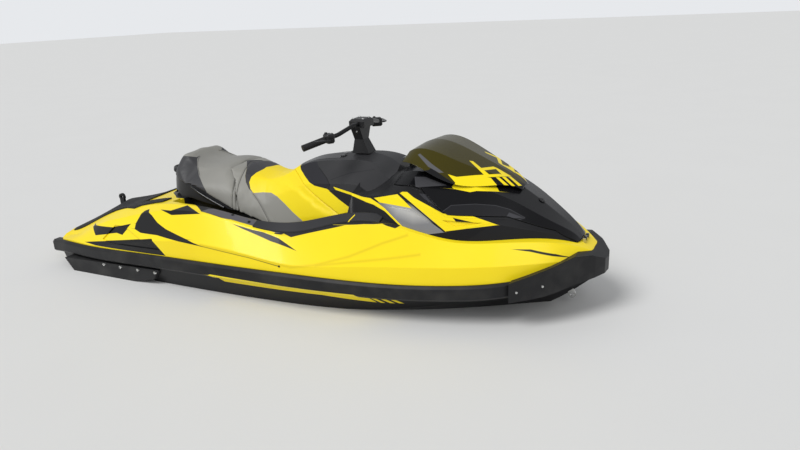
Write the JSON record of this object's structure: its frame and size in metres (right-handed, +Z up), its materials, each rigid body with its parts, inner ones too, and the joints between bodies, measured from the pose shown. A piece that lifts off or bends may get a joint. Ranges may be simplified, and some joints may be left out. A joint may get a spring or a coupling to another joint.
{
  "type": "personal watercraft",
  "caption": "Straddle-seat personal watercraft with vee hull, jet drive, handlebar steering, lift-off seat and hinged front hood.",
  "frame": {"origin": "waterline plane at mid length on the centre plane, 245 mm above the keel line", "axes": "+X to the bow, +Y to port, +Z up"},
  "size_m": [3.318, 1.2252, 1.1461],
  "materials": {
    "hull_black": "gloss moulded",
    "deck_yellow": "gloss moulded",
    "bumper_rubber": "satin extrusion",
    "grille_black": "mesh",
    "console_grey": "grained",
    "lid_black": "grained",
    "trim_black": "satin",
    "seat_vinyl": "two-colour vinyl",
    "bolster_vinyl": "grained vinyl",
    "hood_black": "gloss moulded",
    "stainless": "brushed",
    "cowl_black": "gloss moulded",
    "panel_silver": "metallic",
    "band_yellow": "gloss moulded",
    "deflector_smoke": "tinted gloss",
    "pump_alloy": "cast",
    "bucket_black": "satin",
    "plate_black": "satin",
    "engine_grey": "cast",
    "bin_black": "satin",
    "bar_black": "satin",
    "grip_rubber": "ribbed",
    "pod_black": "satin",
    "lever_black": "satin",
    "gauge_black": "gloss",
    "sponson_grey": "satin",
    "deck_mat": "foam mat",
    "knee_trim": "grained"
  },
  "bodies": {
    "craft": {"hull": "hull_black", "deck": "deck_yellow", "bumper_rails": "bumper_rubber", "bow_bumper": "bumper_rubber", "rear_grilles": "grille_black", "console": "console_grey", "hood_hinge": "stainless", "cowl": "cowl_black", "fairing_panels": "panel_silver", "fairing_bands": "band_yellow", "fairing_grilles": "grille_black", "jet_pump": "pump_alloy", "ride_plate": "plate_black", "intake_grate": "pump_alloy", "engine": "engine_grey", "locker_bin": "bin_black", "gauge_display": "gauge_black", "sponsons": "sponson_grey", "rear_deck_mat": "deck_mat", "footwell_mats": "deck_mat", "gunwale_trims": "knee_trim", "pedestal_trims": "trim_black", "bow_eye": "stainless", "stern_eyes": "stainless", "tow_eye": "trim_black", "drain_plugs": "trim_black"},
    "hood": {"hood": "hood_black", "wind_deflector": "deflector_smoke"},
    "seat": {"seat_carrier": "trim_black", "seat_front": "seat_vinyl", "seat_bolster": "bolster_vinyl", "grab_handle": "trim_black"},
    "glovebox_lid": {"glovebox_lid": "lid_black"},
    "steering": {"steering_riser": "trim_black", "handlebar": "bar_black", "grips": "grip_rubber", "switch_pods": "pod_black", "levers": "lever_black", "bar_pad": "trim_black"},
    "nozzle": {"steering_nozzle": "pump_alloy"},
    "bucket": {"reverse_bucket": "bucket_black"},
    "rotor": {"impeller": "stainless", "drive_shaft": "stainless"}
  },
  "joints": [
    {"name": "steering", "type": "hinge", "parent": "craft", "child": "steering", "pos_m": [0.353, 0, 0.713], "axis": [-0.342, 0, 0.9397], "range_deg": [-22, 22]},
    {"name": "nozzle_swing", "type": "hinge", "parent": "craft", "child": "nozzle", "pos_m": [-1.423, 0, -0.08], "axis": [0, 0, 1], "range_deg": [-20, 20]},
    {"name": "bucket_swing", "type": "hinge", "parent": "craft", "child": "bucket", "pos_m": [-1.423, 0, -0.08], "axis": [0, -1, 0], "range_deg": [0, 82]},
    {"name": "impeller_spin", "type": "hinge", "parent": "craft", "child": "rotor", "pos_m": [-0.859, 0, -0.08], "axis": [1, 0, 0], "continuous": true},
    {"name": "seat_lift_off", "type": "slide", "parent": "craft", "child": "seat", "axis": [-0.9511, 0, 0.309], "range_m": [0, 0.35]},
    {"name": "hood_hinge", "type": "hinge", "parent": "craft", "child": "hood", "pos_m": [1.547, 0, 0.363], "axis": [0, 1, 0], "range_deg": [0, 50]},
    {"name": "glovebox_hinge", "type": "hinge", "parent": "craft", "child": "glovebox_lid", "pos_m": [0.263, 0, 0.701], "axis": [0, 1, 0], "range_deg": [0, 60]}
  ],
  "couplings": [
    {"joint": "nozzle_swing", "follows": "steering", "ratio": -0.9}
  ]
}
